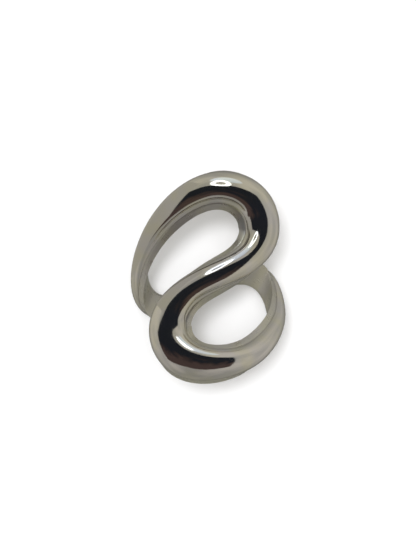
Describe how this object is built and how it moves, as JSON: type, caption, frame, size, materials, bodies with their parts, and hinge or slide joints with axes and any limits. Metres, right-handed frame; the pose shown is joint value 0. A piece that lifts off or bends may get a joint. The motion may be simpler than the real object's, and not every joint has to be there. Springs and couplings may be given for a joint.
{
  "type": "finger ring",
  "caption": "Polished metal finger ring whose band makes a large open S on the front, with a window in each bend and a plain band behind the finger",
  "frame": {"origin": "On the axis of the finger hole, level with the middle of the S", "axes": "+Y along the finger, +Z out of the front of the S, +X to the side; seen from +Z the upper bend of the S is on the right"},
  "size_m": [0.0218, 0.0292, 0.0225],
  "materials": {
    "polished_metal": "mirror polished",
    "liner_metal": "satin",
    "solder": "polished flush"
  },
  "bodies": {
    "root": {"front_cover": "polished_metal", "finger_liner": "liner_metal", "cover_seam": "solder", "rear_shank": "polished_metal", "left_shank_joint": "solder", "right_shank_joint": "solder"}
  },
  "joints": []
}
